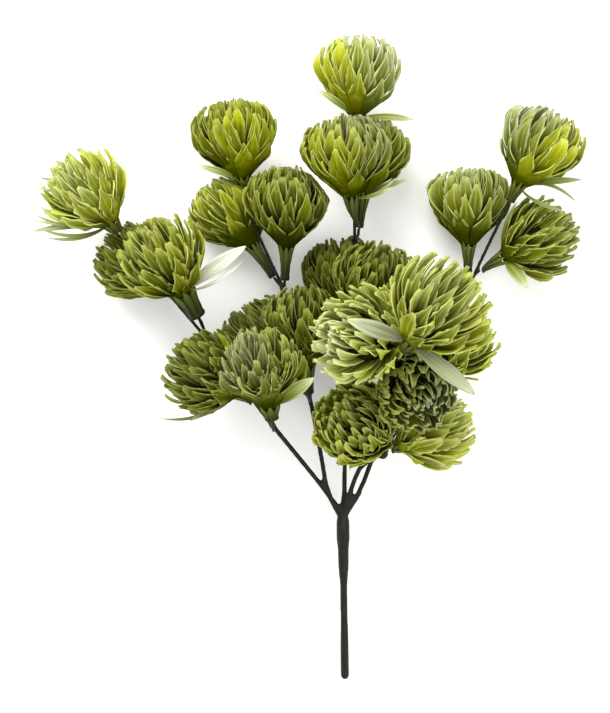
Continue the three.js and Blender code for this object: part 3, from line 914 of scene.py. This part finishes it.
def make_stem(node, material):
    """Makes the stem from the CAD stem, smoothed and with its swollen fork drawn in."""
    mesh = node.data.copy()
    mesh.name = "smooth_stem"
    work = bmesh.new()
    work.from_mesh(mesh)
    bmesh.ops.remove_doubles(work, verts=work.verts, dist=SEAM * MM)
    work.to_mesh(mesh)
    work.free()
    mesh.materials.clear()
    mesh.materials.append(material)
    piece = show("smooth_stem", mesh, "stem")
    piece.data = evened(piece)
    vertices = piece.data.vertices
    points = np.empty(3 * len(vertices))
    vertices.foreach_get("co", points)
    points = slimmed(points.reshape(-1, 3) / MM) * MM
    vertices.foreach_set("co", points.ravel())
    piece.data.update()
    piece.data.shade_smooth()


# ------------------------------------------------------------------ materials

PATCH_SCALE = 70
# How strongly rims and tips are lightened: partly their pale plastic, partly painted highlight.
RIM_PALE_AND_HIGHLIGHT = 0.95
TIP_PALE_AND_HIGHLIGHT = 0.7
VEIN_LIGHT = 0.28
VEINS = 1.5  # how many waves of them lie between a petal's middle and its edge
# Painted shade darkens petals towards black-green.
PAINTED_SHADE_DEPTH = 0.72  # how near to black-green the darkest petals come
PETAL_GRAIN, CALYX_GRAIN = 9, 4  # how fine the streaks are across a petal and a sleeve
GRAIN_STRETCH = 1.4  # how fast they change along it
GRAIN_APART = 90  # how far the streaks of different petals are apart in the noise
GRAIN_SCALE = 1.6
GRAIN_HEIGHT = 0.3  # in millimetres
STEM_GRAIN = (900, 90, 900)
FLOOR_GLOW = 0.15  # a little light from the floor itself, as a lit table has, softens the shadows


def srgb(text):
    """A linear colour from a hexadecimal sRGB one."""
    channels = [int(text[i : i + 2], 16) / 255 for i in (0, 2, 4)]
    linear = [c / 12.92 if c <= 0.04045 else ((c + 0.055) / 1.055) ** 2.4 for c in channels]
    return (*linear, 1)


def add_node(tree, kind, inputs=(), **settings):
    """Adds a shader node. `inputs` maps sockets to values or to the sockets that feed them."""
    made = tree.nodes.new(kind)
    for key, value in settings.items():
        setattr(made, key, value)
    for key, value in dict(inputs).items():
        if isinstance(value, bpy.types.NodeSocket):
            tree.links.new(value, made.inputs[key])
        else:
            made.inputs[key].default_value = value
    return made


def between(tree, value, low, high):
    """A smooth 0 to 1 as a value goes from low to high."""
    made = add_node(
        tree,
        "ShaderNodeMapRange",
        {"Value": value, "From Min": low, "From Max": high},
        interpolation_type="SMOOTHSTEP",
    )
    return made.outputs["Result"]


def reckoned(tree, operation, *values):
    """The result of a math node."""
    made = add_node(tree, "ShaderNodeMath", dict(enumerate(values)), operation=operation)
    return made.outputs[0]


def times(tree, first, second):
    """Two values multiplied."""
    return reckoned(tree, "MULTIPLY", first, second)


def noise(tree, scale, detail, **place):
    """Noise at a place given as `Vector`, or else at the default one."""
    inputs = {"Scale": scale, "Detail": detail, **place}
    return add_node(tree, "ShaderNodeTexNoise", inputs).outputs["Fac"]


def mixed(tree, factor, first, second, blend="MIX"):
    """Two colours mixed by a factor."""
    made = add_node(
        tree,
        "ShaderNodeMix",
        {0: factor, 6: first, 7: second},
        data_type="RGBA",
        blend_type=blend,
    )
    return made.outputs[2]


def darkened(tree, factor, colour, grain, stops):
    """A colour darkened by a grain, through a ramp of greys."""
    return mixed(tree, factor, colour, ramp(tree, grain, stops), "MULTIPLY")


def ramp(tree, value, stops):
    """A colour ramp through [place, colour] stops."""
    made = add_node(tree, "ShaderNodeValToRGB", {"Fac": value})
    elements = made.color_ramp.elements
    while len(elements) < len(stops):
        elements.new(0.5)
    for element, (place, colour) in zip(elements, stops):
        element.position = place
        element.color = srgb(colour)
    return made.outputs["Color"]


def new_material(name, roughness, specular):
    """A material with a Principled shader, and its node tree and shader."""
    material = bpy.data.materials.new(name)
    material.use_nodes = True
    tree = material.node_tree
    tree.nodes.clear()
    shader = add_node(
        tree, "ShaderNodeBsdfPrincipled", {"Roughness": roughness, "Specular IOR Level": specular}
    )
    output = add_node(tree, "ShaderNodeOutputMaterial")
    tree.links.new(shader.outputs["BSDF"], output.inputs["Surface"])
    return material, tree, shader


def bumped(tree, shader, height, distance, strength):
    """Makes a surface uneven by a height. The distance is in millimetres."""
    bump = add_node(
        tree, "ShaderNodeBump", {"Height": height, "Distance": distance * MM, "Strength": strength}
    )
    tree.links.new(bump.outputs["Normal"], shader.inputs["Normal"])


def petal_values(tree):
    """The sockets of a petal's places and of its tone."""
    sockets = []
    for name in ("petal", "tone"):
        source = add_node(tree, "ShaderNodeAttribute", attribute_name=name)
        parts = add_node(tree, "ShaderNodeSeparateXYZ", {0: source.outputs["Vector"]})
        sockets += list(parts.outputs)
    return sockets


def streaks(tree, across, along, chance, fine):
    """Noise drawn out along a petal, different on each."""
    x = times(tree, across, fine)
    y = times(tree, along, GRAIN_STRETCH)
    z = times(tree, chance, GRAIN_APART)
    places = add_node(tree, "ShaderNodeCombineXYZ", {"X": x, "Y": y, "Z": z})
    return noise(tree, GRAIN_SCALE, 3, Vector=places.outputs[0])


def petal_colour(tree, along, pale, gold):
    """The colour of a petal's skin: green, golden in patches, frosty, or as of clear plastic where
    it is both pale and gold."""
    # Each ramp darkens towards a petal's foot: partly the plastic's own olive, partly painted shade
    # deep in the bloom.
    body = ramp(
        tree,
        along,
        [(0, "262C00"), (0.4, "343C00"), (0.6, "404800"), (0.8, "535C00"), (1, "6E7A08")],
    )
    golden = ramp(tree, along, [(0, "3C4000"), (0.4, "6C7200"), (0.7, "A6AC00"), (1, "CED414")])
    frosty = ramp(tree, along, [(0, "2C3400"), (0.4, "56620A"), (0.75, "929E3E"), (1, "CCD492")])
    clear = ramp(tree, along, [(0.4, "A2AA80"), (0.6, "CED2B8"), (1, "E6E9DA")])
    frosty = mixed(tree, between(tree, times(tree, pale, gold), 0.3, 0.9), frosty, clear)
    place = add_node(tree, "ShaderNodeTexCoord").outputs["Object"]
    patch = between(tree, noise(tree, PATCH_SCALE, 2, Vector=place), 0.35, 0.65)
    patched = add_node(tree, "ShaderNodeMapRange", {"Value": patch, "To Min": 0.6, "To Max": 1.5})
    colour = mixed(tree, times(tree, gold, patched.outputs["Result"]), body, golden)
    return mixed(tree, pale, colour, frosty)


def with_edges(tree, colour, across, along, pale):
    """A petal's colour with its pale rims and tip, partly painted highlight, and its faint veins.
    """
    rim = times(tree, between(tree, across, 0.68, 0.94), between(tree, along, 0.42, 0.8))
    tip = times(tree, between(tree, along, 0.88, 1), TIP_PALE_AND_HIGHLIGHT)
    light = times(tree, reckoned(tree, "MAXIMUM", rim, tip), RIM_PALE_AND_HIGHLIGHT)
    # The pale edge colour: on rims and tips partly painted highlight, on veins the plastic's own.
    edge = mixed(tree, pale, srgb("DEE66C"), srgb("F4F8CC"))
    colour = mixed(tree, light, colour, edge)
    wave = reckoned(tree, "COSINE", times(tree, across, VEINS * 2 * math.pi))
    vein = times(tree, between(tree, wave, 0.2, 1), between(tree, along, 0.5, 0.8))
    return mixed(tree, times(tree, vein, VEIN_LIGHT), colour, edge)


def petal_material():
    """Moulded green petals: olive towards their feet, partly their own colour and partly painted
    shade deep in the bloom, lime along their length, with pale rims and tips that are partly
    painted highlight, and darkened by each head's painted shade."""
    material, tree, shader = new_material("petal_plastic", 0.5, 0)
    across, along, chance, pale, gold, shade = petal_values(tree)
    colour = with_edges(tree, petal_colour(tree, along, pale, gold), across, along, pale)
    grain = streaks(tree, across, along, chance, PETAL_GRAIN)
    colour = darkened(tree, 0.5, colour, grain, [(0.36, "6A6A6A"), (0.6, "FFFFFF")])
    # The tone's darkness mixes the colour towards black-green: on a bloom's petals this is painted
    # shade, by the head's `shade`; on its long petals it is their `leaf_shade`.
    dark = mixed(tree, PAINTED_SHADE_DEPTH, colour, srgb("1C2404"))
    colour = mixed(tree, shade, colour, dark)
    tree.links.new(colour, shader.inputs["Base Color"])
    bumped(tree, shader, grain, GRAIN_HEIGHT, 0.7)
    return material


def calyx_material():
    """Sage green sleeves with painted shade between the ribs, darker towards the stalk."""
    material, tree, shader = new_material("calyx_plastic", 0.5, 0.1)
    across, along, chance, pale, olive_share, _ = petal_values(tree)
    sage = ramp(tree, along, [(0, "28321C"), (0.35, "3E4A24"), (0.8, "5A6834"), (1, "68742C")])
    olive_green = ramp(tree, along, [(0, "2C3008"), (0.5, "444A04"), (1, "565C04")])
    sepal = ramp(tree, along, [(0, "3C4820"), (0.6, "66722E"), (1, "8A9444")])
    # Painted shade in the grooves between the ribs.
    groove = times(tree, between(tree, across, 0.35, 0.9), 0.75)
    colour = mixed(tree, groove, sage, srgb("1C2410"))
    colour = mixed(tree, olive_share, colour, olive_green)
    colour = mixed(tree, pale, colour, sepal)
    grain = streaks(tree, across, along, chance, CALYX_GRAIN)
    colour = darkened(tree, 0.35, colour, grain, [(0.3, "707070"), (0.7, "FFFFFF")])
    tree.links.new(colour, shader.inputs["Base Color"])
    bumped(tree, shader, grain, GRAIN_HEIGHT, 0.5)
    return material


def stem_material():
    """Dark green plastic with faint streaks of olive."""
    material, tree, shader = new_material("stem_plastic", 0.5, 0.2)
    place = add_node(tree, "ShaderNodeTexCoord").outputs["Object"]
    drawn = add_node(tree, "ShaderNodeMapping", {"Vector": place, "Scale": STEM_GRAIN})
    grain = noise(tree, 1, 4, Vector=drawn.outputs[0])
    colour = ramp(tree, grain, [(0.3, "0F130A"), (0.55, "181D0F"), (0.8, "2A3014")])
    tree.links.new(colour, shader.inputs["Base Color"])
    bumped(tree, shader, grain, GRAIN_HEIGHT, 0.4)
    return material


def floor_material():
    """A nearly white floor that glows a little."""
    material, tree, shader = new_material("pale_floor", 0.8, 0.2)
    colour = ramp(tree, noise(tree, 12, 3), [(0.3, "F6F6F4"), (0.7, "FBFBF9")])
    tree.links.new(colour, shader.inputs["Base Color"])
    shader.inputs["Emission Color"].default_value = (1, 1, 1, 1)
    shader.inputs["Emission Strength"].default_value = FLOOR_GLOW
    return material


# ------------------------------------------------------------------ surroundings

# In metres and watts.
FLOOR_REACH = 3
LIT_PLACE = (0, 0.03, 0.05)
KEY_PLACE, KEY_SIZE, KEY_POWER = (-0.35, 0.9, 1.0), 0.9, 19
FILL_PLACE, FILL_SIZE, FILL_POWER = (0.5, -0.3, 1.3), 1.2, 9
SKY_STRENGTH = 0.8


def add_floor():
    """Adds the floor that the spray lies on."""
    mesh = bpy.data.meshes.new("floor")
    signs = [(-1, -1), (1, -1), (1, 1), (-1, 1)]
    corners = [(FLOOR_REACH * x, FLOOR_REACH * y, 0) for x, y in signs]
    mesh.from_pydata(corners, [], [(0, 1, 2, 3)])
    mesh.materials.append(floor_material())
    floor = bpy.data.objects.new("floor", mesh)
    bpy.context.scene.collection.objects.link(floor)


def add_light(name, place, size, power):
    """A square area light that faces the middle of the spray."""
    data = bpy.data.lights.new(name, "AREA")
    data.size = size
    data.energy = power
    light = bpy.data.objects.new(name, data)
    light.location = place
    aim = Vector(LIT_PLACE) - Vector(place)
    light.rotation_euler = aim.to_track_quat("-Z", "Y").to_euler()
    bpy.context.scene.collection.objects.link(light)


def add_lights():
    """Soft studio light: a big lamp towards the flowers, a weaker one by the camera, a pale sky."""
    add_light("key", KEY_PLACE, KEY_SIZE, KEY_POWER)
    add_light("fill", FILL_PLACE, FILL_SIZE, FILL_POWER)
    world = bpy.data.worlds.new("studio")
    world.use_nodes = True
    background = world.node_tree.nodes["Background"]
    background.inputs["Color"].default_value = (1, 1, 1, 1)
    background.inputs["Strength"].default_value = SKY_STRENGTH
    bpy.context.scene.world = world


def add_camera():
    """Adds the camera that the photo's view is seen by."""
    data = bpy.data.cameras.new("camera")
    data.sensor_fit = "HORIZONTAL"
    data.lens = FOCAL_PIXELS * data.sensor_width / PICTURE_WIDTH
    camera = bpy.data.objects.new("camera", data)
    camera.location = Vector(CAMERA_PLACE) * MM
    bpy.context.scene.collection.objects.link(camera)
    bpy.context.scene.camera = camera


# ------------------------------------------------------------------ the whole scene

SLEEVE_SEEDS = 100  # the first of the seeds for the sleeves, which follow those for the blooms

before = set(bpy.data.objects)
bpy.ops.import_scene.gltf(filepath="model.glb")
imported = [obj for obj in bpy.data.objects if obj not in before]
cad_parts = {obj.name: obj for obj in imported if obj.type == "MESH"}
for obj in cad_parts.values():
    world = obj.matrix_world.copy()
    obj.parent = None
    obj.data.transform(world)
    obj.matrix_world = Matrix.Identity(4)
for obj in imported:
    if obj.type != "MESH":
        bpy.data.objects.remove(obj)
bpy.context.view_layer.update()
bpy.context.scene.view_settings.view_transform = "Standard"

petal_plastic = petal_material()
calyx_plastic = calyx_material()
heads = [head_of(name, look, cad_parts[f"calyx_{name}"]) for name, look in LOOKS.items()]
for seed, head in enumerate(heads):
    make_bloom(head, heads, petal_plastic, seed)
    make_sleeve(head, heads, calyx_plastic, SLEEVE_SEEDS + seed)
make_stem(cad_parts["stem"], stem_material())

add_floor()
add_lights()
add_camera()
